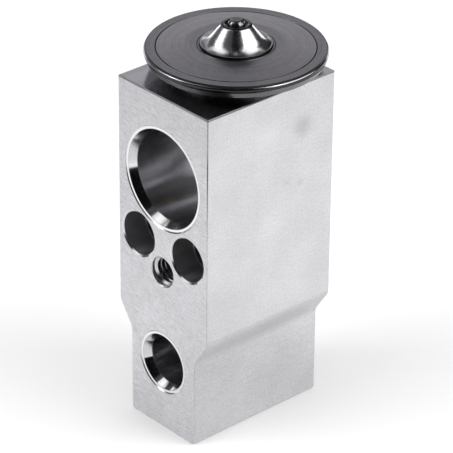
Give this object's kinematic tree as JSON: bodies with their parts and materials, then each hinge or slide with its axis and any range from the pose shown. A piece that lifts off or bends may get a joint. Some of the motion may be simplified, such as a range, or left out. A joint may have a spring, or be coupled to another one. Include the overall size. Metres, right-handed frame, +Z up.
{
  "type": "expansion valve",
  "caption": "Block-type refrigerant expansion valve: drilled aluminium block with pipe ports and a round diaphragm head.",
  "frame": {"origin": "centre of the block's base, midway between its side faces and its port faces", "axes": "+Z up along the block to the diaphragm head, -Y out of the face with the two front pipe ports, +X to the right seen from that face"},
  "size_m": [0.0344, 0.0353, 0.0811],
  "materials": {
    "block": "extruded sides, milled port faces",
    "cover": "satin stainless, polished cone",
    "plug": "gloss black",
    "housing": "polished stainless",
    "stainless": "bright",
    "spring": "spring steel",
    "rod": "turned",
    "screw": "turned",
    "seal": "moulded"
  },
  "bodies": {
    "block": {"valve_body": "block", "superheat_spring": "spring", "rod_seal_ring": "seal", "seal_washer": "stainless", "seal_retainer": "spring", "threaded_neck": "housing", "head_seal_ring": "seal", "lower_housing": "housing", "diaphragm": "stainless", "upper_housing": "cover", "charge_plug": "plug"},
    "stem": {"diaphragm_plate": "stainless", "sensing_rod": "rod", "push_pin": "stainless", "valve_ball": "stainless", "ball_carrier": "stainless", "damper_spring": "spring"},
    "screw_seal": {"screw_seal_ring": "seal"},
    "adjuster": {"adjusting_screw": "screw"}
  },
  "joints": [
    {"name": "stem_lift", "type": "slide", "parent": "block", "child": "stem", "axis": [0, 0, -1], "range_m": [0, 0.0008], "stiffness_N_per_m": 5100, "deforming": ["superheat_spring"]},
    {"name": "screw_advance", "type": "slide", "parent": "block", "child": "screw_seal", "axis": [0, 0, 1], "range_m": [-0.001, 0.001]},
    {"name": "screw_turn", "type": "hinge", "parent": "screw_seal", "child": "adjuster", "pos_m": [0, 0.0023, 0.0012], "axis": [0, 0, 1], "range_deg": [-360, 360]}
  ],
  "couplings": [
    {"joint": "screw_advance", "follows": "screw_turn", "m_per_rad": 0.00015915}
  ]
}
